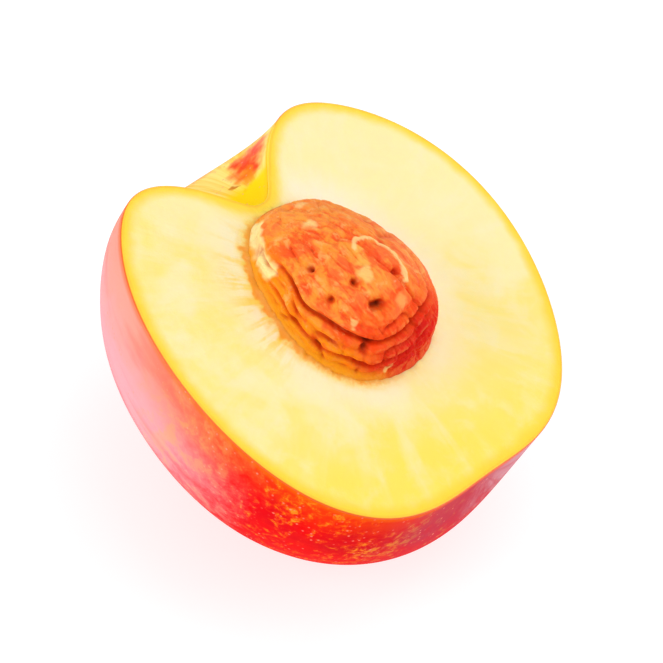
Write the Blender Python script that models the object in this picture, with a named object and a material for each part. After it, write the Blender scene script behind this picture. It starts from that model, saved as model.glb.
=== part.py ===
"""Half of a nectarine, cut along its suture, with its stone still in the hollow. Metres, +Z up.

The fruit is modelled round its own middle: +Y is the stem end, the cut face is the plane Z = 0 and the
flesh lies below it. An empty then leans the half back on the small flat spot that it rests on, and the
origin of the world is the middle of that spot.
"""

import math

import bmesh
import bpy
from mathutils import Euler, Matrix, Vector, noise

MM = 0.001

# Outline of the cut face: the distance from the middle, by the angle from the stem end towards +X
MEAN_RADIUS = 31.9 * MM
OUTLINE_COSINES = (-4.3 * MM, 0.5 * MM, -0.95 * MM)
OUTLINE_SINES = (0.85 * MM, 0.9 * MM, -0.65 * MM)
STEM_CAVITY_DEPTH = 13.6 * MM
STEM_CAVITY_ANGLE = 0.42
STEM_CAVITY_OFFSET = -0.058
STEM_CAVITY_POWER = 2.6
BLOSSOM_DIMPLE_DEPTH = 6.0 * MM
BLOSSOM_DIMPLE_ANGLE = 0.477

# How far the cheek at the back stands out past the outline of the cut
CHEEK = (0.3 * MM, -1.3 * MM, 0.1 * MM)
SHOULDER_HEIGHT = 3.6 * MM
SHOULDER_AT = 0.52
SHOULDER_WIDTH = 0.20
CHEEK_FADE = 0.22
LOBE_HEIGHT = 0.5 * MM
LOBE_SCALE = 1.7

# How the half lies
STEM_END_RAISED = math.radians(17.9)
SIDE_DROPPED = math.radians(6.3)
HEADING = math.radians(54.0)
FLAT_SPOT_DEPTH = 0.9 * MM

# The stone, long along Y
STONE_HALF_LENGTH = 13.5 * MM
STONE_HALF_WIDTH = 11.2 * MM
STONE_HALF_HEIGHT = 8.7 * MM
STONE_CENTRE = Vector((0.0, -1.4 * MM, 0.0))
STONE_WIDTH_TAPER = 0.10
STONE_HEIGHT_TAPER = 0.30
STONE_FULLNESS = 2.3
HOLLOW_GAP = 0.35 * MM

# Relief of the stone, carved inwards. The edge grooves run round the stone at these angles above and below
# its suture, each with its depth, and climb past the blossom end. A pit is its angle round the stone from +X,
# its place from -1 at the blossom end to 1 at the stem end, and its radius.
EDGE_GROOVES = ((0.09, 0.4 * MM), (0.20, 0.7 * MM), (0.35, 0.4 * MM), (0.50, 1.1 * MM), (0.66, 0.3 * MM))
EDGE_GROOVE_WIDTH = 0.05
EDGE_GROOVE_WANDER = 0.05
EDGE_GROOVE_CLIMB = 0.34
CLIMB_STARTS = -0.5
# They are whole where the stone faces -X or its blossom end, weaker on its back, and fade towards the stem end
EDGE_GROOVES_ON_BACK = 0.35
SIDE_TO_BACK = 2.0
END_FACES_FRONT = 1.2
END_STARTS = 0.3
EDGE_GROOVES_END = 0.55
EDGE_GROOVES_FADE = 0.35
PITS = ((2.01, -0.21, 0.7 * MM), (2.37, -0.22, 0.6 * MM), (1.42, -0.31, 0.6 * MM), (2.02, -0.49, 0.8 * MM),
        (1.92, -0.51, 0.8 * MM), (2.51, -0.72, 0.7 * MM), (2.29, 0.15, 0.5 * MM))
PIT_DEPTH = 1.2 * MM
FURROW_DEPTH = 0.7 * MM
FURROW_WIDTH = 0.09
FURROW_ACROSS = 280.0
FURROW_ALONG = 100.0
FURROW_PATTERN = Vector((3.0, 7.0, 1.0))
FURROW_PATCHES = Vector((9.0, 2.0, 5.0))
LUMP_DEPTH = 0.6 * MM
LUMP_SCALE = 200.0
SUTURE_BAND = 0.06

# Fineness of the faceted solids
FRUIT_SEGMENTS = 116
FRUIT_RINGS = 60
CUT_FACE_RINGS = 3
HOLLOW_RINGS = 9
STONE_SEGMENTS = 104
STONE_RINGS = 40
SMOOTH_BELOW = math.radians(40)

# Base colour and roughness
SKIN_FINISH = ((0.62, 0.03, 0.03), 0.3)
FLESH_FINISH = ((0.95, 0.78, 0.32), 0.4)
STONE_FINISH = ((0.62, 0.16, 0.05), 0.6)


def clamp(value):
    """The value kept between 0 and 1."""
    return max(0.0, min(1.0, value))


def swell(angle, centre, width, power=2.0):
    """1 at the centre and 0 well past the width. Angles wrap round."""
    away = math.remainder(angle - centre, math.tau)
    return math.exp(-abs(away / width) ** power)


def outline_radius(angle):
    """Distance from the middle to the skin in the cut plane."""
    radius = MEAN_RADIUS
    for turns, (cosine, sine) in enumerate(zip(OUTLINE_COSINES, OUTLINE_SINES), 1):
        radius += cosine * math.cos(turns * angle) + sine * math.sin(turns * angle)
    radius -= STEM_CAVITY_DEPTH * swell(angle, STEM_CAVITY_OFFSET, STEM_CAVITY_ANGLE, STEM_CAVITY_POWER)
    radius -= BLOSSOM_DIMPLE_DEPTH * swell(angle, math.pi, BLOSSOM_DIMPLE_ANGLE)
    return radius


def cheek_height(direction, from_stem):
    """How far the skin at the back stands out past the outline of the cut."""
    height = CHEEK[0] + CHEEK[1] * math.cos(from_stem) + CHEEK[2] * math.cos(2 * from_stem)
    height += SHOULDER_HEIGHT * swell(from_stem, SHOULDER_AT, SHOULDER_WIDTH)
    height += LOBE_HEIGHT * noise.noise(direction * LOBE_SCALE)
    return height * (1 - math.exp(-((math.sin(from_stem) / CHEEK_FADE) ** 2)))


def fruit_point(direction):
    """Where the skin lies in a direction from the middle of the fruit."""
    from_stem = math.acos(max(-1.0, min(1.0, direction.y)))
    side = direction.x / max(math.hypot(direction.x, direction.z), 1e-9)
    right = outline_radius(from_stem)
    left = outline_radius(-from_stem)
    radius = (right + left) / 2 + side * (right - left) / 2
    radius += (1 - side * side) * cheek_height(direction, from_stem)
    return direction * radius


def stone_envelope(direction, gap=0.0):
    """The stone's outer form without its relief: an egg, broad and high at the blossom end."""
    length = sum(abs(part) ** STONE_FULLNESS for part in direction) ** (1 / STONE_FULLNESS)
    full = direction / length
    return STONE_CENTRE + Vector((
        full.x * (STONE_HALF_WIDTH * (1 - STONE_WIDTH_TAPER * full.y) + gap),
        full.y * (STONE_HALF_LENGTH + gap),
        full.z * (STONE_HALF_HEIGHT * (1 - STONE_HEIGHT_TAPER * full.y) + gap),
    ))


def around_stone(angle, along):
    """The direction at an angle round the stone, 0 at +X, and a place along it from -1 to 1."""
    across = math.sqrt(1 - along * along)
    return Vector((across * math.cos(angle), along, across * math.sin(angle)))


def edge_grooves(direction, point):
    """Grooves that run beside the suture and round the blossom end, strongest on the side at -X."""
    from_edge = math.asin(min(1.0, abs(direction.z)))
    rise = EDGE_GROOVE_WANDER * noise.noise(point * LUMP_SCALE)
    rise += EDGE_GROOVE_CLIMB * max(0.0, direction.x - CLIMB_STARTS)
    facing = clamp(SIDE_TO_BACK * max(-direction.x, -END_FACES_FRONT * direction.y - END_STARTS))
    strength = EDGE_GROOVES_ON_BACK + (1 - EDGE_GROOVES_ON_BACK) * facing
    strength *= clamp((EDGE_GROOVES_END - direction.y) / EDGE_GROOVES_FADE)
    depths = [depth * swell(from_edge, angle + rise, EDGE_GROOVE_WIDTH) for angle, depth in EDGE_GROOVES]
    return strength * sum(depths)


def furrows(point):
    """Winding furrows along the stone, deep in some patches and gone in others."""
    stretched = Vector((point.x * FURROW_ACROSS, point.y * FURROW_ALONG, point.z * FURROW_ACROSS))
    winding = noise.noise(stretched + FURROW_PATTERN)
    patch = 0.5 + 0.5 * noise.noise(point * LUMP_SCALE + FURROW_PATCHES)
    return FURROW_DEPTH * patch * math.exp(-((winding / FURROW_WIDTH) ** 2))


def stone_relief(direction, pits):
    """Depth carved into the envelope in a direction. The suture itself is left whole."""
    point = stone_envelope(direction)
    depth = LUMP_DEPTH * (0.5 + 0.5 * noise.noise(point * LUMP_SCALE))
    depth += edge_grooves(direction, point) + furrows(point)
    for centre, radius in pits:
        depth += PIT_DEPTH * math.exp(-(((point - centre).length / radius) ** 2))
    return depth * (1 - math.exp(-((direction.z / SUTURE_BAND) ** 2)))


def add_ring(bm, outer, places):
    """Joins a closed ring of points to a new ring inside it, and returns the new ring and its faces."""
    inner = [bm.verts.new(place) for place in places]
    faces = []
    for here in range(len(outer)):
        after = (here + 1) % len(outer)
        faces.append(bm.faces.new((outer[here], outer[after], inner[after], inner[here])))
    return inner, faces


def close_ring(bm, ring, place):
    """Closes a ring with a fan of triangles to one point, and returns the fan."""
    middle = bm.verts.new(place)
    return [bm.faces.new((ring[here - 1], ring[here], middle)) for here in range(len(ring))]


def skin_bowl(bm):
    """Half a sphere drawn out to the fruit's skin, open at the cut. Returns its rim in order."""
    bmesh.ops.create_uvsphere(bm, u_segments=FRUIT_SEGMENTS, v_segments=FRUIT_RINGS, radius=1.0)
    nearly_level = 1e-4
    bmesh.ops.delete(bm, geom=[vert for vert in bm.verts if vert.co.z > nearly_level], context="VERTS")
    rim = [vert for vert in bm.verts if vert.co.z > -nearly_level]
    rim.sort(key=lambda vert: math.atan2(vert.co.x, vert.co.y))
    for vert in bm.verts:
        vert.co = fruit_point(vert.co.normalized())
    for vert in rim:
        vert.co.z = 0.0
    return rim


def hollow_direction(vert, dip):
    """The direction in the stone's form that lies inward of a point of the rim, dipped below the cut."""
    away = vert.co - STONE_CENTRE
    level = Vector((away.x / STONE_HALF_WIDTH, away.y / STONE_HALF_LENGTH, 0.0)).normalized()
    return level * math.cos(dip) + Vector((0.0, 0.0, -math.sin(dip)))


def cut_and_hollow(bm, rim):
    """The flat cut face, and the hollow that the stone lies in."""
    lip = [stone_envelope(hollow_direction(vert, 0.0), HOLLOW_GAP) for vert in rim]
    faces = []
    ring = rim
    for step in range(1, CUT_FACE_RINGS + 1):
        share = step / CUT_FACE_RINGS
        ring, made = add_ring(bm, ring, [vert.co.lerp(edge, share) for vert, edge in zip(rim, lip)])
        faces += made
    for step in range(1, HOLLOW_RINGS):
        dip = math.pi / 2 * step / HOLLOW_RINGS
        places = [stone_envelope(hollow_direction(vert, dip), HOLLOW_GAP) for vert in rim]
        ring, made = add_ring(bm, ring, places)
        faces += made
    return faces + close_ring(bm, ring, stone_envelope(Vector((0.0, 0.0, -1.0)), HOLLOW_GAP))


def rest_spot(bm, down):
    """Cuts the small flat spot that the half rests on, and returns its middle."""
    height = max(vert.co.dot(down) for vert in bm.verts) - FLAT_SPOT_DEPTH
    whole = bm.verts[:] + bm.edges[:] + bm.faces[:]
    bmesh.ops.bisect_plane(bm, geom=whole, plane_co=down * height, plane_no=down, clear_outer=True)
    edges = [edge for edge in bm.edges if edge.is_boundary]
    spot = bmesh.ops.edgeloop_fill(bm, edges=edges)["faces"][0]
    return spot.calc_center_bounds()


def add_object(name, bm, materials, parent):
    """A named object from the mesh, shaded smooth but for its sharp edges."""
    bmesh.ops.recalc_face_normals(bm, faces=bm.faces)
    mesh = bpy.data.meshes.new(name)
    bm.to_mesh(mesh)
    bm.free()
    for material in materials:
        mesh.materials.append(material)
    mesh.shade_smooth()
    mesh.set_sharp_from_angle(angle=SMOOTH_BELOW)
    item = bpy.data.objects.new(name, mesh)
    bpy.context.collection.objects.link(item)
    item.parent = parent
    return item


def add_material(name, colour, roughness):
    material = bpy.data.materials.new(name)
    material.use_nodes = True
    shader = material.node_tree.nodes["Principled BSDF"]
    shader.inputs["Base Color"].default_value = (*colour, 1.0)
    shader.inputs["Roughness"].default_value = roughness
    shader.inputs["Metallic"].default_value = 0.0
    return material


def add_fruit_half(lean):
    """Flesh and skin, grown as one piece, resting on its flat spot at the origin."""
    bm = bmesh.new()
    rim = skin_bowl(bm)
    for face in cut_and_hollow(bm, rim):
        face.material_index = 1
    down = lean.rotation_euler.to_matrix().inverted() @ Vector((0.0, 0.0, -1.0))
    spot = rest_spot(bm, down)
    lean.location = -(lean.rotation_euler.to_matrix() @ spot)
    skin = add_material("skin", *SKIN_FINISH)
    flesh = add_material("flesh", *FLESH_FINISH)
    add_object("fruit_half", bm, (skin, flesh), lean)


def add_stone(lean):
    """The whole stone, half of it sunk in the hollow."""
    bm = bmesh.new()
    poles_on_y = Matrix.Rotation(-math.pi / 2, 4, "X")
    bmesh.ops.create_uvsphere(
        bm, u_segments=STONE_SEGMENTS, v_segments=STONE_RINGS, radius=1.0, matrix=poles_on_y
    )
    pits = [(stone_envelope(around_stone(angle, along)), radius) for angle, along, radius in PITS]
    for vert in bm.verts:
        direction = vert.co.normalized()
        envelope = stone_envelope(direction)
        inward = (STONE_CENTRE - envelope).normalized()
        vert.co = envelope + inward * stone_relief(direction, pits)
    shell = add_material("stone_shell", *STONE_FINISH)
    add_object("stone", bm, (shell,), lean)


def main():
    for item in list(bpy.data.objects):
        bpy.data.objects.remove(item, do_unlink=True)
    lean = bpy.data.objects.new("lean", None)
    lean.rotation_euler = Euler((STEM_END_RAISED, SIDE_DROPPED, HEADING), "XYZ")
    bpy.context.collection.objects.link(lean)
    add_fruit_half(lean)
    add_stone(lean)


main()
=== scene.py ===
import math

import bmesh
import bpy
import numpy as np
from mathutils import Euler, Matrix, Vector, noise
from mathutils.kdtree import KDTree


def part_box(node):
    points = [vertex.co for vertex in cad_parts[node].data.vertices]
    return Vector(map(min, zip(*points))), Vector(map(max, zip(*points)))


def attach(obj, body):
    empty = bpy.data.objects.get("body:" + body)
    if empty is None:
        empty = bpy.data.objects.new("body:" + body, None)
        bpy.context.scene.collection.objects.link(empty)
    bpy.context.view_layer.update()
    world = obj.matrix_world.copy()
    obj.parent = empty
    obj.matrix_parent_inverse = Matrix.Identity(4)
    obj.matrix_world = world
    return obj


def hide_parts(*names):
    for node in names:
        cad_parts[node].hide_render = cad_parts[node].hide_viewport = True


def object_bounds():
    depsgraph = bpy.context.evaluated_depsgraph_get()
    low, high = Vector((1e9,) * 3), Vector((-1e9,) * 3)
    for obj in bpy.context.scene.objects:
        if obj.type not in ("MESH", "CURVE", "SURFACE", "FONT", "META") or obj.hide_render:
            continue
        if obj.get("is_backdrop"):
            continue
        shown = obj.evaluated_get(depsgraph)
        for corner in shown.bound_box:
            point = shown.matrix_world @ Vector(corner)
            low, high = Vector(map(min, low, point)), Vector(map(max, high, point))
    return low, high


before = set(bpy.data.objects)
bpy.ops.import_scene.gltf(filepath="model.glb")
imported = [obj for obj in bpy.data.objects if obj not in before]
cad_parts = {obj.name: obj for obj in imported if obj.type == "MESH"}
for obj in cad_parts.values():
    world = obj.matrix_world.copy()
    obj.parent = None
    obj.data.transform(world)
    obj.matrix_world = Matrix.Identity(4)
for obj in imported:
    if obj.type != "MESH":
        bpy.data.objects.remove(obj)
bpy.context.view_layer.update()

mm = 0.001


def swell(angle, centre, width, power=2.0):
    # 1 at the centre and 0 well past the width; angles wrap round
    away = math.remainder(angle - centre, math.tau)
    return math.exp(-abs(away / width) ** power)


def bell(value, width):
    # 1 at a value of 0, falling away on both sides of it
    return math.exp(-((value / width) ** 2))


def lifted(value):
    # noise between -1 and 1, brought to between 0 and 1
    return 0.5 + 0.5 * value


def clamp(value, low=0.0, high=1.0):
    return max(low, min(high, value))


def easeBetween(value, low, high):
    share = clamp((value - low) / (high - low))
    return share * share * (3 - 2 * share)


def deselectAll():
    if bpy.context.mode != "OBJECT":
        bpy.ops.object.mode_set(mode="OBJECT")
    bpy.ops.object.select_all(action="DESELECT")


def pickOnly(item):
    deselectAll()
    item.select_set(True)
    bpy.context.view_layer.objects.active = item


def applyPlace():
    bpy.ops.object.transform_apply(location=True, rotation=True, scale=True)


def addSphere(name, segments, rings, rotation=(0.0, 0.0, 0.0)):
    deselectAll()
    bpy.ops.mesh.primitive_uv_sphere_add(segments=segments, ring_count=rings, radius=1.0,
                                         rotation=rotation)
    ball = bpy.context.object
    ball.name = name
    applyPlace()
    return ball


def splitFaces(item, levels):
    # cuts every face in four, level after level, without rounding the form
    pickOnly(item)
    finer = item.modifiers.new("finer", "SUBSURF")
    finer.subdivision_type = "SIMPLE"
    finer.levels = finer.render_levels = levels
    bpy.ops.object.modifier_apply(modifier=finer.name)


def writeValues(item, name, values):
    # one number for each point of the mesh, which its materials read by name
    layer = item.data.attributes.get(name) or item.data.attributes.new(name, "FLOAT", "POINT")
    layer.data.foreach_set("value", np.asarray(values, np.float32))


def readPoints(item):
    points = np.zeros(len(item.data.vertices) * 3, np.float32)
    item.data.vertices.foreach_get("co", points)
    return points.reshape(-1, 3).astype(float)


def nearest(points, line):
    # distance of each point, seen square to the cut, to the nearest of the line's points
    tree = KDTree(len(line))
    for number, spot in enumerate(line):
        tree.insert((spot.x, spot.y, 0.0), number)
    tree.balance()
    return [tree.find((x, y, 0.0))[2] for x, y, _ in points]


# the fruit's own axes: Y is the stem end, the cut is the plane Z = 0 and the flesh lies under it
fruit = {
    "meanRadius": 31.9 * mm,
    "outlineCosines": (-4.3 * mm, 0.5 * mm, -0.95 * mm),
    "outlineSines": (0.85 * mm, 0.9 * mm, -0.65 * mm),
    "stemCavityDepth": 13.6 * mm,
    "stemCavityAngle": 0.42,
    "stemCavityOffset": -0.058,
    "stemCavityPower": 2.6,
    "blossomDimpleDepth": 6.0 * mm,
    "blossomDimpleAngle": 0.477,
    "cheek": (0.3 * mm, -1.3 * mm, 0.1 * mm),
    "shoulderHeight": 3.6 * mm,
    "shoulderAt": 0.52,
    "shoulderWidth": 0.20,
    "cheekFade": 0.22,
    "lobeHeight": 0.5 * mm,
    "lobeScale": 1.7,
    "segments": 100,
    "rings": 60,
    "splits": 2,
    "cutFaceRings": 44,
    "skinEdge": 0.25 * mm,      # radius of the cut's outer edge
    "cutWaves": 0.10 * mm,
    "waveScales": (110.0, 400.0),
    "fineWaveShare": 0.5,
    "waveLevel": 0.6,
    "calmEdge": 2.5 * mm,       # the waves fade out this near to the rim and the stone
    "clingHeight": 0.32 * mm,   # the torn lip of flesh that clings to the stone
    "clingWidth": 0.5 * mm,
    "clingPressed": 0.35,
    "clingLevel": 0.45,
    "clingPattern": 0.4,
    "clingTears": ((1.0, 5.0), (0.7, 16.0)),    # share and scale of each
    "hollowGap": 0.3 * mm,
    "hollowRings": 26,
    "firstDip": 0.04,
    "lineSteps": 6000,          # points along the rim and the lip, for measuring from them
}

lean = {
    "stemEndRaised": math.radians(17.9),
    "sideDropped": math.radians(6.3),
    "heading": math.radians(54.0),
}
leanTurn = Euler((lean["stemEndRaised"], lean["sideDropped"], lean["heading"]), "XYZ")


def outlineRadius(angle):
    radius = fruit["meanRadius"]
    waves = zip(fruit["outlineCosines"], fruit["outlineSines"])
    for turns, (cosine, sine) in enumerate(waves, 1):
        radius += cosine * math.cos(turns * angle) + sine * math.sin(turns * angle)
    notch = swell(angle, fruit["stemCavityOffset"], fruit["stemCavityAngle"],
                  fruit["stemCavityPower"])
    dimple = swell(angle, math.pi, fruit["blossomDimpleAngle"])
    return radius - fruit["stemCavityDepth"] * notch - fruit["blossomDimpleDepth"] * dimple


def skinPoint(direction):
    fromStem = math.acos(clamp(direction.y, -1.0, 1.0))
    side = direction.x / max(math.hypot(direction.x, direction.z), 1e-9)
    right = outlineRadius(fromStem)
    left = outlineRadius(-fromStem)
    low, tilt, bend = fruit["cheek"]
    cheek = low + tilt * math.cos(fromStem) + bend * math.cos(2 * fromStem)
    cheek += fruit["shoulderHeight"] * swell(fromStem, fruit["shoulderAt"], fruit["shoulderWidth"])
    cheek += fruit["lobeHeight"] * noise.noise(direction * fruit["lobeScale"])
    cheek *= 1 - bell(math.sin(fromStem), fruit["cheekFade"])
    radius = (right + left) / 2 + side * (right - left) / 2 + (1 - side * side) * cheek
    return direction * radius


# the stone; places on it are an angle round its length and a place along it, from -1 to 1
stone = {
    "halfLength": 13.5 * mm,
    "halfWidth": 11.2 * mm,
    "halfHeight": 8.7 * mm,
    "centre": Vector((0.0, -1.4 * mm, 0.0)),
    "widthTaper": 0.10,
    "heightTaper": 0.30,
    "fullness": 2.3,
    "edgeGrooves": (        # angle up from the edge, and depth
        (0.09, 0.4 * mm), (0.20, 0.7 * mm), (0.35, 0.4 * mm), (0.50, 1.1 * mm), (0.66, 0.3 * mm),
    ),
    "edgeGrooveWidth": 0.036,
    "edgeGrooveWander": 0.05,
    "edgeGrooveClimb": 0.34,
    "climbStarts": -0.5,
    "edgeGroovesOnBack": 0.35,
    "sideToBack": 2.0,
    "endFacesFront": 1.2,
    "endStarts": 0.3,
    "edgeGroovesEnd": 0.55,
    "edgeGroovesFade": 0.35,
    "pits": (       # angle, place along the stone and radius
        (2.01, -0.21, 0.7 * mm),
        (2.37, -0.22, 0.6 * mm),
        (1.42, -0.31, 0.6 * mm),
        (2.02, -0.49, 0.8 * mm),
        (1.92, -0.51, 0.8 * mm),
        (2.51, -0.72, 0.7 * mm),
        (2.29, 0.15, 0.5 * mm),
    ),
    "pitDepth": 1.2 * mm,
    "furrowDepth": 0.7 * mm,
    "furrowWidth": 0.09,
    "furrowScales": (280.0, 100.0),     # across and along the stone
    "furrowPattern": Vector((3.0, 7.0, 1.0)),
    "furrowPatches": Vector((9.0, 2.0, 5.0)),
    "lumpDepth": 0.6 * mm,
    "lumpScale": 200.0,
    "sutureBand": 0.06,
    "calmAtSuture": 0.9,
    "archRidge": ((1.66, 0.10), (1.56, 0.18), (1.30, 0.12), (1.26, -0.10), (1.33, -0.33),
                  (1.42, -0.43)),
    "archSteps": 12,
    "archHeight": 0.3 * mm,
    "archWidth": 0.42 * mm,
    "creaseDepth": 0.16 * mm,
    "creaseWidth": 0.10,
    "creaseScales": (620.0, 260.0),
    "fibreDepth": 0.16 * mm,
    "fibreScales": (1500.0, 350.0),
    "grainDepth": 0.07 * mm,
    "grainScale": 2600.0,
    "segments": 110,
    "rings": 50,
    "splits": 2,
}


def stoneEnvelope(direction, gap=0.0):
    # the stone's smooth outer form, or a form a gap outside it
    length = sum(abs(part) ** stone["fullness"] for part in direction) ** (1 / stone["fullness"])
    full = direction / length
    return stone["centre"] + Vector((
        full.x * (stone["halfWidth"] * (1 - stone["widthTaper"] * full.y) + gap),
        full.y * (stone["halfLength"] + gap),
        full.z * (stone["halfHeight"] * (1 - stone["heightTaper"] * full.y) + gap),
    ))


def aroundStone(angle, along):
    across = math.sqrt(1 - along * along)
    return Vector((across * math.cos(angle), along, across * math.sin(angle)))


def drawnOut(point, scales):
    # a place in a pattern that is drawn out along the stone
    across, along = scales
    return Vector((point.x * across, point.y * along, point.z * across))


def stoneRelief(direction, pits):
    # depth of the lumps, and of the grooves, furrows and pits cut into them
    point = stoneEnvelope(direction)
    broad = point * stone["lumpScale"]
    lumps = stone["lumpDepth"] * lifted(noise.noise(broad))

    fromEdge = math.asin(min(1.0, abs(direction.z)))
    climb = stone["edgeGrooveWander"] * noise.noise(broad)
    climb += stone["edgeGrooveClimb"] * max(0.0, direction.x - stone["climbStarts"])
    endFacing = -stone["endFacesFront"] * direction.y - stone["endStarts"]
    facing = clamp(stone["sideToBack"] * max(-direction.x, endFacing))
    strength = stone["edgeGroovesOnBack"] + (1 - stone["edgeGroovesOnBack"]) * facing
    strength *= clamp((stone["edgeGroovesEnd"] - direction.y) / stone["edgeGroovesFade"])
    cuts = strength * sum(groove * swell(fromEdge, angle + climb, stone["edgeGrooveWidth"])
                          for angle, groove in stone["edgeGrooves"])

    winding = noise.noise(drawnOut(point, stone["furrowScales"]) + stone["furrowPattern"])
    patch = lifted(noise.noise(broad + stone["furrowPatches"]))
    cuts += stone["furrowDepth"] * patch * bell(winding, stone["furrowWidth"])
    for centre, radius in pits:
        cuts += stone["pitDepth"] * bell((point - centre).length, radius)
    whole = 1 - bell(direction.z, stone["sutureBand"])
    return lumps * whole, cuts * whole


def archTree():
    # points along the pale arched ridge on top of the stone
    corners = [stoneEnvelope(aroundStone(angle, along)) for angle, along in stone["archRidge"]]
    steps = stone["archSteps"]
    tree = KDTree((len(corners) - 1) * steps)
    for number in range((len(corners) - 1) * steps):
        first, share = divmod(number, steps)
        tree.insert(corners[first].lerp(corners[first + 1], share / steps), number)
    tree.balance()
    return tree


def fineRelief(point):
    # depth of the creases, and of the fibres along the stone with a fine grain between them
    crease = noise.noise(drawnOut(point, stone["creaseScales"]))
    fibre = noise.noise(drawnOut(point, stone["fibreScales"]))
    grain = noise.noise(point * stone["grainScale"])
    return (stone["creaseDepth"] * bell(crease, stone["creaseWidth"]),
            stone["fibreDepth"] * abs(fibre) + stone["grainDepth"] * lifted(grain))


def makeStone():
    ball = addSphere("nectarineStone", stone["segments"], stone["rings"],
                     rotation=(-math.pi / 2, 0.0, 0.0))
    splitFaces(ball, stone["splits"])
    pits = [(stoneEnvelope(aroundStone(angle, along)), radius)
            for angle, along, radius in stone["pits"]]
    arch = archTree()
    grooved, arches = [], []
    for vert in ball.data.vertices:
        direction = vert.co.normalized()
        envelope = stoneEnvelope(direction)
        onArch = bell(arch.find(envelope)[2], stone["archWidth"])
        lumps, cuts = stoneRelief(direction, pits)
        crease, fine = fineRelief(envelope)
        calm = 1 - stone["calmAtSuture"] * bell(direction.z, stone["sutureBand"])
        cuts += crease * calm
        depth = lumps + cuts + fine * calm - stone["archHeight"] * onArch
        grooved.append(cuts / mm)
        arches.append(onArch)
        vert.co = envelope + (stone["centre"] - envelope).normalized() * depth
    writeValues(ball, "grooved", grooved)
    writeValues(ball, "arch", arches)
    return ball


def rimPoint(angle):
    return skinPoint(Vector((math.sin(angle), math.cos(angle), 0.0)))


def lipDirection(angle, dip):
    # the direction in the stone's form that lies inward of the rim's point at an angle
    away = rimPoint(angle) - stone["centre"]
    level = Vector((away.x / stone["halfWidth"], away.y / stone["halfLength"], 0.0)).normalized()
    return level * math.cos(dip) + Vector((0.0, 0.0, -math.sin(dip)))


def roundedEdge(gap, radius):
    # how far a rounded edge has dropped at a distance in from it
    inside = max(0.0, radius - gap)
    return radius - math.sqrt(max(0.0, radius * radius - inside * inside))


def clingAt(angle):
    # how high the flesh clings to the stone: torn, so it changes quickly around it
    turning = Vector((math.cos(angle), math.sin(angle), fruit["clingPattern"]))
    tears = (share * noise.noise(turning * scale) for share, scale in fruit["clingTears"])
    return fruit["clingHeight"] * clamp(sum(tears, fruit["clingLevel"]))


def cutPoint(angle, share):
    # a point of the cut face, at a share of the way from the rim to the stone
    rim = rimPoint(angle)
    cling = clingAt(angle)
    upward = lipDirection(angle, -cling / stone["halfHeight"])
    lip = stoneEnvelope(upward, -fruit["clingPressed"] * cling)
    point = rim.lerp(lip, share)
    fromRim = (point - rim).length
    fromLip = math.hypot(point.x - lip.x, point.y - lip.y)
    broad, fine = fruit["waveScales"]
    waves = noise.noise(point * broad) + fruit["fineWaveShare"] * noise.noise(point * fine)
    calm = easeBetween(min(fromRim, fromLip), 0.0, fruit["calmEdge"])
    height = fruit["cutWaves"] * (waves - fruit["waveLevel"]) * calm
    height += cling * bell(fromLip, fruit["clingWidth"]) - roundedEdge(fromRim, fruit["skinEdge"])
    return Vector((point.x, point.y, height))


def hollowPoint(angle, dip):
    return stoneEnvelope(lipDirection(angle, dip), fruit["hollowGap"])


def extrudeRings(item, places):
    # pulls the selected rim inwards ring by ring; each new point keeps its angle on the rim
    for place in places:
        bpy.ops.mesh.extrude_region_move()
        work = bmesh.from_edit_mesh(item.data)
        around = work.verts.layers.float["around"]
        for vert in work.verts:
            if vert.select:
                vert.co = place(vert[around])
        bmesh.update_edit_mesh(item.data)


def makeHalf():
    half = addSphere("nectarineHalf", fruit["segments"], fruit["rings"])
    nearCut = 1e-4      # on the ball of radius 1
    bpy.ops.object.mode_set(mode="EDIT")
    bpy.ops.mesh.select_mode(type="VERT")
    work = bmesh.from_edit_mesh(half.data)
    for vert in work.verts:
        vert.select_set(vert.co.z > nearCut)
    bpy.ops.mesh.delete(type="VERT")
    bpy.ops.object.mode_set(mode="OBJECT")
    splitFaces(half, fruit["splits"])

    angles = [math.atan2(vert.co.x, vert.co.y) for vert in half.data.vertices]
    writeValues(half, "around", angles)
    for vert in half.data.vertices:
        onRim = vert.co.z > -nearCut
        vert.co = skinPoint(vert.co.normalized())
        if onRim:
            vert.co.z = -fruit["skinEdge"]

    # the open rim is drawn inwards over the cut face, then down into the stone's hollow
    bpy.ops.object.mode_set(mode="EDIT")
    bpy.ops.mesh.select_all(action="DESELECT")
    bpy.ops.mesh.select_non_manifold(extend=False, use_wire=False, use_boundary=True,
                                     use_multi_face=False, use_non_contiguous=False,
                                     use_verts=False)
    skinFaces = len(half.data.polygons)
    rings, dipRings, firstDip = fruit["cutFaceRings"], fruit["hollowRings"], fruit["firstDip"]
    shares = [easeBetween(ring / rings, 0.0, 1.0) for ring in range(1, rings + 1)]
    dips = [firstDip + (math.pi / 2 - firstDip) * ring / dipRings for ring in range(dipRings)]
    extrudeRings(half, [lambda angle, share=share: cutPoint(angle, share) for share in shares])
    extrudeRings(half, [lambda angle, dip=dip: hollowPoint(angle, dip) for dip in dips])
    bpy.ops.mesh.merge(type="CENTER")
    bpy.ops.mesh.select_all(action="SELECT")
    bpy.ops.mesh.normals_make_consistent(inside=False)
    bpy.ops.object.mode_set(mode="OBJECT")
    for face in half.data.polygons[skinFaces:]:
        face.material_index = 1     # flesh; the skin is 0
    return half


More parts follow.
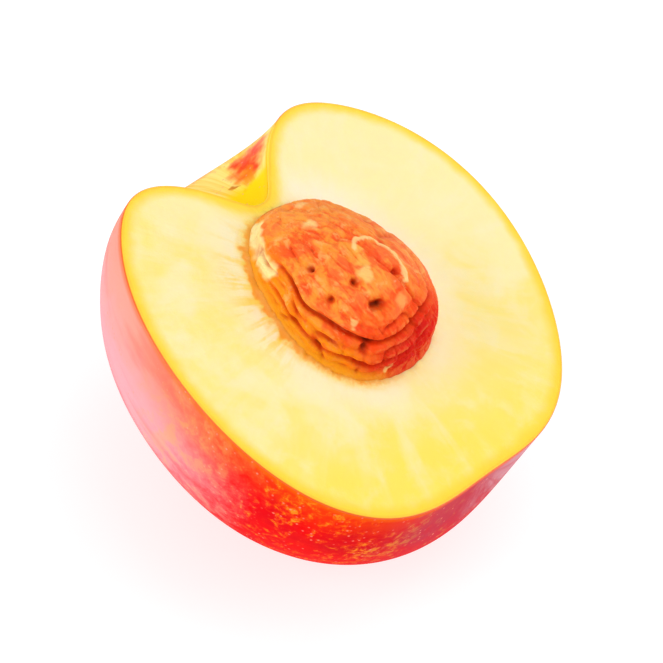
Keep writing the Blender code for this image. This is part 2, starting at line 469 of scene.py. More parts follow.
class Wire:
    # wraps one socket of a material, so that sums on values read as plain sums
    tree = None

    def __init__(self, socket):
        self.socket = socket

    def maths(self, operation, first, second):
        return add("ShaderNodeMath", {"operation": operation}, {0: first, 1: second})

    def __add__(self, other):
        return self.maths("ADD", self, other)

    def __radd__(self, other):
        return self.maths("ADD", other, self)

    def __sub__(self, other):
        return self.maths("SUBTRACT", self, other)

    def __rsub__(self, other):
        return self.maths("SUBTRACT", other, self)

    def __mul__(self, other):
        return self.maths("MULTIPLY", self, other)

    def __rmul__(self, other):
        return self.maths("MULTIPLY", other, self)

    def __truediv__(self, other):
        return self.maths("DIVIDE", self, other)

    def __rtruediv__(self, other):
        return self.maths("DIVIDE", other, self)

    def __neg__(self):
        return self * -1.0


def add(kind, settings=None, inputs=None, output=0):
    # a node of a kind: its settings first, then the values or links of its sockets
    node = Wire.tree.nodes.new(kind)
    for name, value in (settings or {}).items():
        setattr(node, name, value)
    for name, value in (inputs or {}).items():
        if isinstance(value, Wire):
            Wire.tree.links.new(value.socket, node.inputs[name])
        elif value is not None:
            node.inputs[name].default_value = value
    return Wire(node.outputs[output])


def tint(red, green, blue):
    # a colour as seen on a screen, 0 to 255, in the values that shaders take
    parts = [part / 255 for part in (red, green, blue)]
    dark, bright = (lambda part: part / 12.92), (lambda part: ((part + 0.055) / 1.055) ** 2.4)
    return (*[dark(part) if part <= 0.04045 else bright(part) for part in parts], 1.0)


def mixTints(mask, first, second):
    # sockets 6 and 7 are the node's two colours, and output 2 is the mixed one
    settings = {"data_type": "RGBA", "clamp_factor": True}
    return add("ShaderNodeMix", settings, {0: mask, 6: first, 7: second}, output=2)


def rise(value, low, high):
    # 0 below low and 1 above high, or the other way round where low is the larger
    return add("ShaderNodeMapRange", {"interpolation_type": "SMOOTHSTEP"},
               {"Value": value, "From Min": low, "From Max": high, "To Min": 0.0, "To Max": 1.0})


def ramp(value, span):
    # an amount that grows from nothing as the value goes from where it begins to where it is full
    begins, full, amount = span
    return amount * rise(value, begins, full)


def coat(under, value, layer, mask=None):
    # a layer of colour: the values at which it begins and is full, its strength and its tint
    begins, full, strength, colour = layer
    cover = rise(value, begins, full)
    if strength != 1.0:
        cover = strength * cover
    if mask is not None:
        cover = cover * mask
    return mixTints(cover, under, colour)


def wash(under, cover, paint):
    # the same for a mask that is ready: its strength and its tint
    strength, colour = paint
    return mixTints(strength * cover, under, colour)


def speckle(place, scale, detail=2.0, roughness=0.5, distortion=0.0):
    return add("ShaderNodeTexNoise", None,
               {"Vector": place, "Scale": scale, "Detail": detail, "Roughness": roughness,
                "Distortion": distortion})


def swing(pattern, amount):
    # what a pattern, which lies around one half, adds to a value or takes from it
    return amount * (pattern - 0.5)


def vectors(operation, first, second=None):
    gives = "Value" if operation in ("DISTANCE", "LENGTH", "DOT_PRODUCT") else "Vector"
    return add("ShaderNodeVectorMath", {"operation": operation}, {0: first, 1: second}, gives)


def nudged(place, scale, amount):
    # the place moved about by up to the amount, so that borders wander
    drift = add("ShaderNodeTexNoise", None, {"Vector": place, "Scale": scale, "Detail": 2.0},
                "Color")
    middle = vectors("SUBTRACT", drift, (0.5, 0.5, 0.5))
    shift = add("ShaderNodeVectorMath", {"operation": "SCALE"}, {0: middle, "Scale": 2.0 * amount})
    return vectors("ADD", place, shift)


def stretched(place, scales, offset=(0.0, 0.0, 0.0)):
    return add("ShaderNodeMapping", {"vector_type": "POINT"},
               {"Vector": place, "Scale": scales, "Location": offset})


def stored(name):
    return add("ShaderNodeAttribute", {"attribute_type": "GEOMETRY", "attribute_name": name},
               output="Fac")


def fruitPlace():
    # the place in the fruit's own axes, in millimetres
    seen = add("ShaderNodeTexCoord", output="Object")
    return add("ShaderNodeMapping", {"vector_type": "TEXTURE"},
               {"Vector": seen, "Location": tuple(leanPlace), "Rotation": tuple(leanTurn),
                "Scale": (mm, mm, mm)})


def parts(vector):
    node = Wire.tree.nodes.new("ShaderNodeSeparateXYZ")
    Wire.tree.links.new(vector.socket, node.inputs[0])
    return [Wire(socket) for socket in node.outputs]


def joined(x, y, z):
    return add("ShaderNodeCombineXYZ", None, {"X": x, "Y": y, "Z": z})


def startMaterial(name):
    material = bpy.data.materials.new(name)
    material.use_nodes = True
    Wire.tree = material.node_tree
    return material


def finishShader(values):
    # values and links of the material's own shader, by socket
    shader = Wire.tree.nodes["Principled BSDF"]
    for name, value in values.items():
        if isinstance(value, Wire):
            Wire.tree.links.new(value.socket, shader.inputs[name])
        else:
            shader.inputs[name].default_value = value


def bump(height, distance, strength):
    return add("ShaderNodeBump", None,
               {"Height": height, "Distance": distance, "Strength": strength}, "Normal")


# In the looks, a pattern is its scale, detail, roughness and distortion, and a wander is a scale
# and how far borders shift. A pair is where something begins and is full, and a third number with
# it is how much it then adds or takes. A layer is such a pair with a strength and a tint, and a
# strength and a tint alone go over a mask. Bare lengths are in mm.
cream = tint(255, 238, 206)
fleshLook = {
    # streaks out from the stone: how many around, how short, then as a pattern without its scale
    "rays": (7.0, 0.07, 3.0, 0.55, 0.3),
    "fineRays": (26.0, 0.22, 3.0, 0.6),
    "bands": (13.0, 0.14, 2.0, 0.5),
    "clouds": (0.13, 3.0, 0.5, 0.5),
    "motes": (0.9, 3.0, 0.6),
    "blots": (0.24, 4.0, 0.6, 0.4),
    "patches": (0.32, 2.0, 0.5),
    "wobble": (0.35, 2.0),
    "grain": (3.5, 2.0, 0.6),
    "pale": tint(255, 235, 170),
    "ripe": (0.44, 0.76, 0.7, tint(255, 227, 104)),
    "riperAtBlossom": (8.0, 27.0, 0.32),
    "palerAtShoulder": (2.0, 20.0, 0.16),
    "riperAtSuture": (6.0, 20.0, 0.12),
    "ripestEnd": (16.0, 28.0, 0.62, tint(254, 225, 46)),
    "creamRays": (0.45, 0.75, 0.3, cream),
    "creamBlots": (0.46, 0.72, 0.22, cream),
    "nearStone": (8.0, 1.0),
    "creamAllRound": 0.6,
    "creamSide": (-0.2, 0.5, 0.35),
    "lessCreamEnd": (0.6, 0.95, 0.5),
    "sutureSide": (0.60, 0.95),
    "streakBands": (0.44, 0.66),
    "streakReach": (7.0, 1.5),
    "streaks": (0.85, tint(254, 214, 74)),
    "stainAllRound": 0.25,
    "stainSide": (-0.1, 0.5, 0.75),
    "stainPatches": (0.40, 0.62),
    "stainGold": (2.0, 0.1, 0.8, tint(254, 206, 60)),
    "stainOrange": (0.9, 0.0, 0.9, tint(255, 152, 20)),
    "cavityPlace": (-1.5, 17.5, 0.0),
    "underCavity": (8.0, 3.5, 0.85, tint(255, 222, 50)),
    "underSkin": (2.4, 0.5, 0.95, tint(255, 215, 48)),
    "closeUnderSkin": (0.6, 0.2, 0.45, tint(255, 176, 20)),
    "stemPlace": (0.5, 21.5, 0.0),
    "skinLine": tint(236, 92, 8),
    "skinLineAtStem": (11.0, 8.0, 1.0, tint(253, 208, 48)),
    "skinLineWidth": (0.17, 0.05),
    "hollow": tint(200, 60, 20),
    "hollowFibres": (0.4, 0.6, 1.0, tint(240, 150, 60)),
    "hollowStarts": (-0.6, -2.0),
}


def fleshFinish():
    look = fleshLook
    material = startMaterial("nectarineFlesh")
    place = fruitPlace()
    x, y, z = parts(place)
    rimGap, lipGap = stored("rimGap"), stored("lipGap")
    fromStone = vectors("SUBTRACT", place, tuple(stone["centre"] / mm))
    level = vectors("MULTIPLY", fromStone, (1.0, 1.0, 0.0))
    outX, outY, _ = parts(vectors("NORMALIZE", level))
    across = vectors("LENGTH", level)

    def outward(around, along, *pattern):
        return speckle(joined(outX * around, outY * around, across * along), 1.0, *pattern)

    rays, fineRays = outward(*look["rays"]), outward(*look["fineRays"])
    clouds, motes = speckle(place, *look["clouds"]), speckle(place, *look["motes"])

    # ripe gold towards the blossom end and the suture side, paler at the far shoulder
    riper = (ramp(0.35 * x - 0.94 * y, look["riperAtBlossom"])
             - ramp(0.75 * x + 0.66 * y, look["palerAtShoulder"])
             + ramp(-x, look["riperAtSuture"]))
    shade = coat(look["pale"], clouds + swing(motes, 0.12) + riper, look["ripe"])
    shade = coat(shade, -y - 0.1 * x + swing(clouds, 10.0), look["ripestEnd"])
    shade = coat(shade, rays, look["creamRays"])
    shade = coat(shade, speckle(place, *look["blots"]), look["creamBlots"])
    creamy = (look["creamAllRound"] + ramp(outX, look["creamSide"])
              - ramp(0.5 * outX - 0.85 * outY, look["lessCreamEnd"]))
    nearStone = rise(lipGap + swing(rays, 6.0), *look["nearStone"])
    shade = mixTints(nearStone * creamy, shade, cream)

    # golden streaks run out from the suture side of the stone
    sutureSide = rise(-outX + 0.3 * outY, *look["sutureSide"])
    streaks = rise(outward(*look["bands"]) + swing(motes, 0.3), *look["streakBands"])
    streaks = streaks * rise(lipGap + swing(rays, 6.0), *look["streakReach"]) * sutureSide
    shade = wash(shade, streaks, look["streaks"])

    # the stone stains the flesh that touches it, most of all on that side
    stainSide = look["stainAllRound"] + ramp(-outX, look["stainSide"])
    patches = rise(speckle(place, *look["patches"]), *look["stainPatches"])
    ragged = swing(fineRays, 0.6) + swing(motes, 1.3) - 1.1 * patches * sutureSide
    shade = coat(shade, lipGap + ragged, look["stainGold"], stainSide)
    shade = coat(shade, lipGap + ragged, look["stainOrange"], stainSide)

    # vivid yellow under the stem cavity, where the skin comes close to the stone
    fromCavity = vectors("DISTANCE", place, look["cavityPlace"])
    shade = coat(shade, fromCavity + swing(rays, 3.0), look["underCavity"])

    # the flesh turns deep yellow under the skin, and the skin itself is a thin red line
    wobble = swing(speckle(place, *look["wobble"]), 1.0)
    shade = coat(shade, rimGap + wobble, look["underSkin"])
    shade = coat(shade, rimGap + 0.5 * wobble, look["closeUnderSkin"])
    fromStem = vectors("DISTANCE", place, look["stemPlace"])
    skinLine = coat(look["skinLine"], fromStem, look["skinLineAtStem"])
    shade = mixTints(rise(rimGap, *look["skinLineWidth"]), shade, skinLine)
    hollow = coat(look["hollow"], fineRays, look["hollowFibres"])
    shade = mixTints(rise(z, *look["hollowStarts"]), shade, hollow)

    grain = speckle(place, *look["grain"])
    finishShader({
        "Base Color": shade,
        "Roughness": 0.36 + 0.16 * grain,
        "Subsurface Weight": 0.35,
        "Subsurface Radius": (1.0, 0.62, 0.22),
        "Subsurface Scale": 1.2 * mm,
        "Specular IOR Level": 0.35,
        "Coat Weight": 0.08,
        "Coat Roughness": 0.2,
        "Normal": bump(0.7 * fineRays + 0.5 * motes + 0.35 * grain, 0.25 * mm, 0.35),
    })
    return material


skinLook = {
    # streaks from the stem cavity: how many around, how short, then without the scale
    "streaks": (5.0, 1.1, 4.0, 0.6, 0.3),
    "fineStreaks": (22.0, 3.0, 3.0, 0.6),
    "clouds": (0.045, 3.0, 0.55),
    "mottle": (0.28, 4.0, 0.62, 0.5),
    "flecks": (0.75, 4.0, 0.68, 0.3),
    "drift": (0.11, 2.0, 0.5),
    "grain": (2.2, 3.0, 0.6),
    "red": tint(240, 2, 4),
    "crimson": (0.42, 0.66, 1.0, tint(200, 0, 24)),
    "brightStreaks": (0.45, 0.7, 0.4, tint(248, 40, 16)),
    "thinUnderCut": (-6.5, -0.5, 1.0, tint(254, 66, 4)),
    "thinAllRound": 0.15,
    "thinnestSide": (-4.0, 10.0, 0.5),
    "fleckedEnd": (-12.0, -27.0, 0.10),
    "orangeFlecks": (0.60, 0.76, 0.6, tint(254, 104, 4)),
    "yellowFlecks": (0.70, 0.82, 0.55, tint(254, 176, 40)),
    "stemStreakPattern": (0.60, 0.74),
    "stemStreakReach": (1.5, 0.5),
    "stemStreaks": (0.65, tint(252, 150, 40)),
    # a rosy cheek with a painted sheen: its pale pink parts are a painted reflection of a soft
    # light
    "cheekDirection": (-0.78, 0.60, -0.15),
    "rosyCheekAndSheen": (8.6, 23.0),
    "rosySheenUnderneath": 0.35,
    "rosySheenDepth": (-26.0, -15.0, 0.65),
    "lessRosySheenInStreaks": (0.52, 0.72, 0.3),
    "rosySheenStrength": 0.95,
    "coral": tint(250, 112, 62),
    "paintedSheenToStem": (-16.0, 10.0, 1.0, tint(248, 156, 140)),
    "paintedSheenOnCoral": (-1.0, -13.0, 1.0, tint(234, 164, 172)),
    "goldDriftPattern": (0.44, 0.64),
    "goldDriftReach": (4.0, -8.0),
    "goldDriftStrength": 0.45,
    "goldDrift": tint(252, 160, 84),
    # a painted sheen on the other side of the suture: dusky rose, turning pale towards its edge
    "duskySheenSide": (0.0, 11.0),
    "duskySheenUnderneath": 0.35,
    "duskySheenDepth": (-14.0, -5.0, 0.65),
    "paintedDuskySheen": (0.8, tint(186, 60, 80)),
    "paleSheenSide": (13.0, 24.0),
    "paleSheenDepth": (-11.0, -2.0),
    "paleSheenReach": (5.0, -9.0),
    "lessPaleSheenInStreaks": (0.45, 0.65, 0.4),
    "paintedPaleSheen": (0.95, tint(214, 150, 160)),
    "cavity": tint(253, 226, 128),
    "cavityStreaks": (0.40, 0.66, 1.0, tint(252, 200, 76)),
    "cavityFloor": (19.5, 17.0, 1.0, tint(255, 214, 20)),
    "cavityBorder": (0.58, 0.42),
    "markWander": (0.45, 2.2),
    "cavityMarks": (    # place, radius, strength and tint
        ((5.6, 21.4, -4.4), 3.6, 0.95, tint(238, 58, 26)),
        ((7.4, 24.0, -3.5), 3.6, 0.85, tint(244, 92, 84)),
        ((4.2, 18.8, -4.2), 2.0, 0.7, tint(250, 130, 20)),
        ((2.1, 19.1, -5.7), 0.9, 0.8, tint(196, 96, 16)),
        ((-2.5, 21.5, -9.5), 0.8, 0.5, tint(214, 110, 40)),
    ),
    "aroundStem": (0.85, 0.5, 0.6, tint(252, 120, 30)),
    "edge": tint(252, 104, 4),
    "edgeAtStem": (0.75, 0.5, 1.0, tint(253, 196, 36)),
    "edgeStrength": 0.6,
    "edgeWidth": (0.5, 0.1),
    "edgeHeight": (-1.2, -0.4),
    "poreScale": 1.1,
    "poreSize": (0.24, 0.10),
    "porePatches": (0.42, 0.6),
    "pores": (0.7, tint(253, 150, 128)),
}


def skinFinish():
    look = skinLook
    material = startMaterial("nectarineSkin")
    place = fruitPlace()
    x, y, z = parts(place)
    # angle from the stem end, and the direction around the fruit from there
    fromStem = add("ShaderNodeMath", {"operation": "ARCCOSINE"}, {0: y / vectors("LENGTH", place)})
    level = vectors("MULTIPLY", place, (1.0, 0.0, 1.0))
    aroundX, _, aroundZ = parts(vectors("NORMALIZE", level))

    def downward(around, along, *pattern):
        return speckle(joined(aroundX * around, fromStem * along, aroundZ * around), 1.0, *pattern)

    streaks, fineStreaks = downward(*look["streaks"]), downward(*look["fineStreaks"])
    mottle, flecks = speckle(place, *look["mottle"]), speckle(place, *look["flecks"])

    shade = coat(look["red"], speckle(place, *look["clouds"]), look["crimson"])
    shade = coat(shade, fineStreaks + swing(flecks, 0.5), look["brightStreaks"])
    # orange under the cut's edge, where the skin thins
    thinnest = look["thinAllRound"] + ramp(-x, look["thinnestSide"])
    shade = coat(shade, z + swing(mottle, 8.0) + swing(flecks, 5.0), look["thinUnderCut"], thinnest)
    # orange and yellow flecks in drifts, most of them towards the blossom end
    drift = swing(speckle(place, *look["drift"]), 0.45) + ramp(y, look["fleckedEnd"])
    shade = coat(shade, flecks + drift, look["orangeFlecks"])
    shade = coat(shade, flecks + drift, look["yellowFlecks"])
    # yellow streaks run out of the stem cavity
    stemStreaks = rise(streaks + swing(fineStreaks, 0.5), *look["stemStreakPattern"])
    stemStreaks = stemStreaks * rise(fromStem, *look["stemStreakReach"])
    shade = wash(shade, stemStreaks, look["stemStreaks"])

    # a rosy cheek on the stem side of the suture, with a painted sheen: the pale pink, palest where
    # it turns away from the cut and towards the stem, is a painted reflection of a soft light
    cheek = vectors("DOT_PRODUCT", place, look["cheekDirection"])
    rosyAndPaintedSheen = rise(cheek + swing(mottle, 10.0) + swing(flecks, 6.0), *look["rosyCheekAndSheen"])
    rosyAndPaintedSheen = rosyAndPaintedSheen * (look["rosySheenUnderneath"] + ramp(z + swing(mottle, 8.0), look["rosySheenDepth"]))
    rosyAndPaintedSheen = rosyAndPaintedSheen * (1.0 - ramp(streaks, look["lessRosySheenInStreaks"]))
    paintedSheenOnCoral = coat(look["coral"], y + swing(mottle, 6.0), look["paintedSheenToStem"])
    paintedSheenOnCoral = coat(paintedSheenOnCoral, z + swing(mottle, 6.0), look["paintedSheenOnCoral"])
    shade = mixTints(look["rosySheenStrength"] * rosyAndPaintedSheen, shade, paintedSheenOnCoral)
    goldDrift = rise(mottle + swing(flecks, 0.5), *look["goldDriftPattern"])
    goldDrift = goldDrift * rise(y, *look["goldDriftReach"])
    shade = mixTints(look["goldDriftStrength"] * rosyAndPaintedSheen * goldDrift, shade, look["goldDrift"])

    # a painted sheen on the other side of the suture: a dull, dusky rose that turns pale towards
    # its edge stands in for a soft reflection
    towardSheen = x * 0.85 - 0.5 * y
    paintedDuskySheen = rise(towardSheen + swing(mottle, 8.0) + swing(flecks, 4.0), *look["duskySheenSide"])
    duskySheenDepth = ramp(z + swing(mottle, 8.0) + swing(streaks, 6.0), look["duskySheenDepth"])
    shade = wash(shade, paintedDuskySheen * (look["duskySheenUnderneath"] + duskySheenDepth), look["paintedDuskySheen"])
    paintedPaleSheen = rise(towardSheen + swing(mottle, 6.0), *look["paleSheenSide"])
    paintedPaleSheen = paintedPaleSheen * rise(z + swing(mottle, 14.0) + swing(flecks, 8.0), *look["paleSheenDepth"])
    paintedPaleSheen = paintedPaleSheen * rise(y + swing(mottle, 16.0), *look["paleSheenReach"])
    paintedPaleSheen = paintedPaleSheen * (1.0 - ramp(streaks, look["lessPaleSheenInStreaks"]))
    shade = wash(shade, paintedPaleSheen, look["paintedPaleSheen"])

    # the cavity itself is yellow, with a red blotch on its wall and a dark speck
    inCavity = coat(look["cavity"], streaks + swing(fineStreaks, 0.4), look["cavityStreaks"])
    inCavity = coat(inCavity, y + swing(mottle, 3.0), look["cavityFloor"])
    bent = nudged(place, *look["markWander"])
    for spot, radius, strength, colour in look["cavityMarks"]:
        mark = (1.1 * radius, 0.4 * radius, strength, colour)
        inCavity = coat(inCavity, vectors("DISTANCE", bent, spot), mark)
    aroundStem = fromStem + swing(streaks, 0.5) + swing(fineStreaks, 0.3)
    shade = coat(shade, aroundStem, look["aroundStem"])
    border = fromStem + swing(mottle, 0.25) + swing(fineStreaks, 0.15)
    shade = mixTints(rise(border, *look["cavityBorder"]), shade, inCavity)

    # the skin is thin and orange at the very edge of the cut
    edge = coat(look["edge"], fromStem, look["edgeAtStem"])
    atEdge = look["edgeStrength"] * rise(stored("rimGap"), *look["edgeWidth"])
    shade = mixTints(atEdge * rise(z, *look["edgeHeight"]), shade, edge)
    # small pale pores
    pores = add("ShaderNodeTexVoronoi", {"feature": "F1"},
                {"Vector": place, "Scale": look["poreScale"]}, "Distance")
    pores = rise(pores, *look["poreSize"])
    pores = pores * rise(mottle + swing(flecks, 0.3), *look["porePatches"])
    shade = wash(shade, pores, look["pores"])

    grain = speckle(place, *look["grain"])
    finishShader({
        "Base Color": shade,
        "Roughness": 0.32 + 0.12 * grain,
        "Specular IOR Level": 0.0,
        "Subsurface Weight": 0.08,
        "Subsurface Radius": (1.0, 0.2, 0.1),
        "Subsurface Scale": 2.0 * mm,
        "Coat Weight": 0.07,
        "Coat Roughness": 0.16,
        "Normal": bump(grain + 0.6 * mottle - 0.5 * pores, 0.10 * mm, 0.35),
    })
    return material


stoneLook = {
    "patches": (0.22, 3.0, 0.55, 0.4),
    # patterns drawn out along the stone: the stretch, and the rest in the finish
    "blotchStretch": (0.55, 0.30, 0.55),
    "blotchOffset": (4.0, 1.0, 2.0),
    "blotches": (1.0, 3.0, 0.6, 0.3),
    "fibreStretch": (2.4, 0.55, 2.4),
    "fibres": (1.0, 3.0, 0.6),
    "grain": (4.0, 3.0, 0.65),
    "spots": (0.55, 4.0, 0.6, 0.3),
    "coral": tint(250, 92, 34),
    "orange": (0.40, 0.62, 1.0, tint(254, 154, 52)),
    "peachSide": (1.0, 8.0, 0.5, tint(252, 150, 98)),
    "redderEnd": (5.0, 11.0, 0.7, tint(249, 70, 8)),
    "redEnd": (10.0, 13.5, 0.95, tint(222, 4, 0)),
    "palerEnd": (3.0, 9.0, 0.55, tint(253, 164, 70)),
    "goldSide": (5.5, 9.0),
    "goldHeight": (5.0, 2.6),
    "gold": (0.9, tint(255, 150, 8)),
    "paleSpots": (0.54, 0.70),
    "paleSpotsReach": (11.0, 7.0),
    "pale": (0.55, tint(254, 194, 112)),
    "redSpots": (0.46, 0.34, 0.5, tint(244, 70, 34)),
    "fibreTint": (0.44, 0.70, 0.30, tint(251, 120, 60)),
    "markWander": (0.5, 1.6),
    "marks": (      # angle, place along the stone, radius, strength and tint
        (1.83, 0.54, 1.6, 0.8, tint(254, 216, 140)),
        (1.43, 0.80, 1.5, 0.6, tint(254, 214, 140)),
        (1.62, 0.08, 1.4, 0.8, tint(253, 184, 84)),
        (1.72, -0.06, 1.4, 0.8, tint(253, 186, 80)),
        (1.82, -0.18, 1.6, 0.85, tint(254, 206, 120)),
        (1.38, -0.06, 2.0, 0.7, tint(250, 84, 44)),
        (1.51, -0.42, 1.0, 0.9, tint(255, 232, 190)),
        (1.65, -0.55, 1.5, 0.7, tint(252, 170, 90)),
        (2.40, -0.50, 0.9, 0.8, tint(254, 210, 130)),
        (2.47, -0.65, 0.8, 0.8, tint(252, 190, 110)),
        (2.46, -0.77, 0.8, 0.8, tint(254, 220, 150)),
        (2.56, -0.96, 1.1, 0.8, tint(254, 210, 130)),
        (1.25, -0.86, 2.4, 0.9, tint(214, 14, 0)),
        (2.05, -0.95, 1.6, 0.85, tint(220, 30, 4)),
        (1.50, -0.96, 2.2, 0.85, tint(214, 24, 2)),
        (0.77, -0.92, 2.2, 0.85, tint(222, 24, 4)),
    ),
    # painted light on the low suture-side wall, which lies in shade
    "paintedLightLowWall": (1.8, 0.4, 0.7, tint(255, 168, 24)),
    "paintedLightLowWallSide": (1.0, 5.0),
    "bandWander": (0.5, 0.7),
    "paleBand": ((2.87, 0.87), (2.87, 0.79), (2.86, 0.71), (2.85, 0.63), (2.84, 0.55),
                 (2.82, 0.47), (2.80, 0.39)),
    "bandInside": 0.5 * mm,
    "bandLayer": (1.5, 0.75, 1.0, tint(255, 232, 160)),
    # painted light on the raised parts, painted shade in the grooves and the pits
    "paintedLightOnRidges": (0.10, 0.0, 0.15, tint(254, 176, 92)),
    "grooves": (0.26, 0.85, 0.75, tint(208, 44, 0)),
    "paintedShadeInPits": (0.8, 1.6, 0.8, tint(96, 18, 4)),
    "arch": (0.3, 0.8, 0.8, tint(254, 214, 142)),
}


def stoneFinish():
    look = stoneLook
    material = startMaterial("nectarineStoneShell")
    place = fruitPlace()
    x, y, z = parts(place)
    grooved = stored("grooved")
    patches = speckle(place, *look["patches"])
    blotchPlace = stretched(place, look["blotchStretch"], look["blotchOffset"])
    blotches = speckle(blotchPlace, *look["blotches"])
    fibres = speckle(stretched(place, look["fibreStretch"]), *look["fibres"])

    # coral and orange, redder towards the blossom end and paler at the stem end
    shade = coat(look["coral"], blotches + swing(fibres, 0.3), look["orange"])
    shade = coat(shade, x + swing(patches, 5.0), look["peachSide"])
    shade = coat(shade, -y + swing(patches, 4.0), look["redderEnd"])
    shade = coat(shade, -y + 0.25 * x + swing(patches, 3.0), look["redEnd"])
    shade = coat(shade, y + 0.4 * x + swing(patches, 5.0), look["palerEnd"])
    goldSide = rise(-x + swing(patches, 2.0), *look["goldSide"]) * rise(z, *look["goldHeight"])
    shade = wash(shade, goldSide, look["gold"])

    # spots and fibres all over, then the larger marks where they stand
    spots = speckle(place, *look["spots"])
    pale = rise(spots + swing(fibres, 0.25), *look["paleSpots"])
    shade = wash(shade, pale * rise(-y, *look["paleSpotsReach"]), look["pale"])
    shade = coat(shade, spots, look["redSpots"])
    shade = coat(shade, fibres, look["fibreTint"])
    bent = nudged(place, *look["markWander"])
    for angle, along, radius, strength, colour in look["marks"]:
        spot = tuple(stoneEnvelope(aroundStone(angle, along)) / mm)
        mark = (radius, 0.4 * radius, strength, colour)
        shade = coat(shade, vectors("DISTANCE", bent, spot), mark)
    # painted light: the low wall on the suture side, near the cut, is lit up in gold against the
    # shade it lies in
    shade = coat(shade, z, look["paintedLightLowWall"], rise(-x, *look["paintedLightLowWallSide"]))

    # a pale band of flesh that clings to the suture side
    slightlyBent = nudged(place, *look["bandWander"])
    for angle, along in look["paleBand"]:
        spot = tuple(stoneEnvelope(aroundStone(angle, along), -look["bandInside"]) / mm)
        shade = coat(shade, vectors("DISTANCE", slightlyBent, spot), look["bandLayer"])

    # painted shade, darker in the grooves and darkest in the pits, with painted light on the raised
    # parts; and the pale arched ridge
    shade = coat(shade, grooved, look["paintedLightOnRidges"])
    shade = coat(shade, grooved + swing(fibres, 0.3), look["grooves"])
    shade = coat(shade, grooved, look["paintedShadeInPits"])
    shade = coat(shade, stored("arch") + swing(fibres, 0.9), look["arch"])

    grain = speckle(place, *look["grain"])
    finishShader({
        "Base Color": shade,
        "Roughness": 0.42 + 0.2 * grain,
        "Subsurface Weight": 0.12,
        "Subsurface Radius": (1.0, 0.35, 0.12),
        "Subsurface Scale": 1.5 * mm,
        "Specular IOR Level": 0.06,
        "Coat Weight": 0.05,
        "Coat Roughness": 0.25,
        "Normal": bump(fibres + 0.6 * grain, 0.25 * mm, 0.6),
    })
    return material


def seatOnFlat(item):
    # where the fruit's middle comes to lie, so that the leaning piece fits the CAD half's box
    low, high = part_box("fruit_half")
    points = readPoints(item) @ np.array(leanTurn.to_matrix()).T
    seenLow, seenHigh = points.min(axis=0), points.max(axis=0)
    shift = [(low[i] + high[i] - seenLow[i] - seenHigh[i]) / 2 for i in range(2)]
    return Vector((*shift, high[2] - seenHigh[2]))


print("modelling the stone")
stonePiece = makeStone()
print("modelling the half")
halfPiece = makeHalf()
leanPlace = seatOnFlat(halfPiece)

print("mixing the finishes")
halfPiece.data.materials.append(skinFinish())
halfPiece.data.materials.append(fleshFinish())
stonePiece.data.materials.append(stoneFinish())

print("measuring how far the half's points are from the rim and from the stone")
points = readPoints(halfPiece)
lineAngles = [math.tau * step / fruit["lineSteps"] for step in range(fruit["lineSteps"])]
rimLine = [rimPoint(angle) for angle in lineAngles]
lipLine = [stoneEnvelope(lipDirection(angle, 0.0)) for angle in lineAngles]
writeValues(halfPiece, "rimGap", np.array(nearest(points, rimLine)) / mm)
writeValues(halfPiece, "lipGap", np.array(nearest(points, lipLine)) / mm)

print("leaning both pieces as the fruit lies")
for piece in (stonePiece, halfPiece):
    piece.rotation_euler = leanTurn
    piece.location = leanPlace
    pickOnly(piece)
    applyPlace()

print("cutting the flat spot")
pickOnly(halfPiece)
bpy.ops.object.mode_set(mode="EDIT")
bpy.ops.mesh.select_all(action="SELECT")
bpy.ops.mesh.bisect(plane_co=(0.0, 0.0, 0.0), plane_no=(0.0, 0.0, 1.0), clear_inner=True,
                    use_fill=True, threshold=1e-7)
bpy.ops.object.mode_set(mode="OBJECT")

for piece, node in ((halfPiece, "fruit_half"), (stonePiece, "stone")):
    piece.data.shade_smooth()
    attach(piece, "root")
    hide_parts(node)

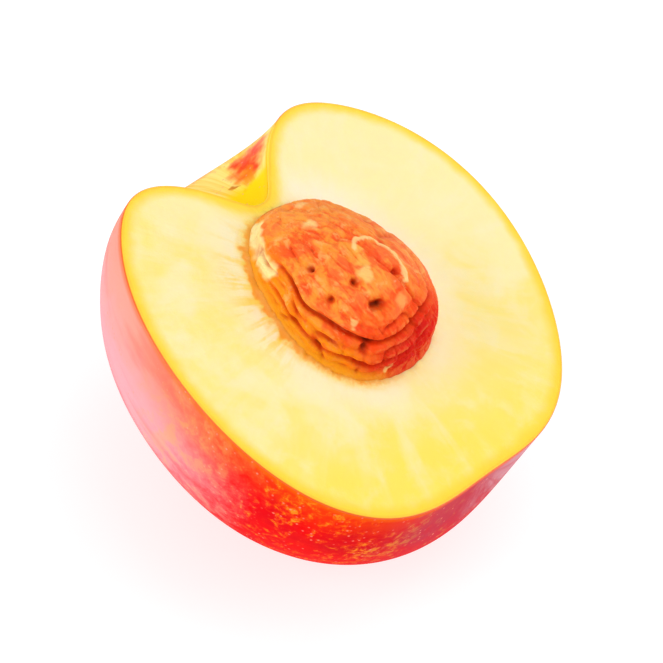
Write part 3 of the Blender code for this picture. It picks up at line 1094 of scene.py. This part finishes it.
# a white floor that gives off a little light of its own, in an even pale room
room = {
    "floorSize": 6.0,
    "floorShade": (0.42, 0.42, 0.42, 1.0),
    "floorRoughness": 0.9,
    "floorGlow": 0.7,
    "white": (1.0, 1.0, 1.0, 1.0),
    "roomStrength": 0.52,
    "aim": (0.0, 0.0, 0.02),
    "lamps": (      # name, place, size and power
        ("softTop", (0.15, 0.1, 0.9), (0.7, 0.7), 2.7),
        ("softLeft", (-0.65, -0.45, 0.3), (0.5, 0.7), 4.2),
        ("softRight", (0.8, 0.1, 0.35), (0.5, 0.7), 2.7),
    ),
}

print("setting up the floor and the light")
deselectAll()
bpy.ops.mesh.primitive_plane_add(size=room["floorSize"])
floor = bpy.context.object
floor.name = "studioFloor"
floorFinish = startMaterial("palePaper")
finishShader({
    "Base Color": room["floorShade"],
    "Roughness": room["floorRoughness"],
    "Specular IOR Level": 0.0,
    "Emission Color": room["white"],
    "Emission Strength": room["floorGlow"],
})
floor.data.materials.append(floorFinish)
floor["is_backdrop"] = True

world = bpy.data.worlds.new("paleRoom")
bpy.context.scene.world = world
world.use_nodes = True
background = world.node_tree.nodes["Background"]
background.inputs["Color"].default_value = room["white"]
background.inputs["Strength"].default_value = room["roomStrength"]

for name, place, size, power in room["lamps"]:
    lamp = bpy.data.lights.new(name, "AREA")
    lamp.shape = "RECTANGLE"
    lamp.size, lamp.size_y = size
    lamp.energy = power
    item = bpy.data.objects.new(name, lamp)
    bpy.context.scene.collection.objects.link(item)
    item.location = place
    towards = Vector(room["aim"]) - Vector(place)
    item.rotation_euler = towards.to_track_quat("-Z", "Y").to_euler()

view = {
    "distance": 0.5,
    "elevation": math.radians(42.0),
    "roll": math.radians(12.0),
    "lens": 213.0,
    "shift": (0.0006, 0.0036),
    "clipStart": 0.01,
}

print("placing the camera")
low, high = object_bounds()
middle = (Vector(low) + Vector(high)) / 2
tiltDown = Matrix.Rotation(math.pi / 2 - view["elevation"], 4, "X")
turn = tiltDown @ Matrix.Rotation(view["roll"], 4, "Z")
back = Matrix.Translation((*view["shift"], view["distance"]))
camera = bpy.data.objects.new("viewCamera", bpy.data.cameras.new("viewCamera"))
bpy.context.scene.collection.objects.link(camera)
camera.matrix_world = Matrix.Translation(middle) @ turn @ back
camera.data.lens = view["lens"]
camera.data.clip_start = view["clipStart"]
bpy.context.scene.camera = camera
bpy.context.scene.view_settings.view_transform = "Standard"
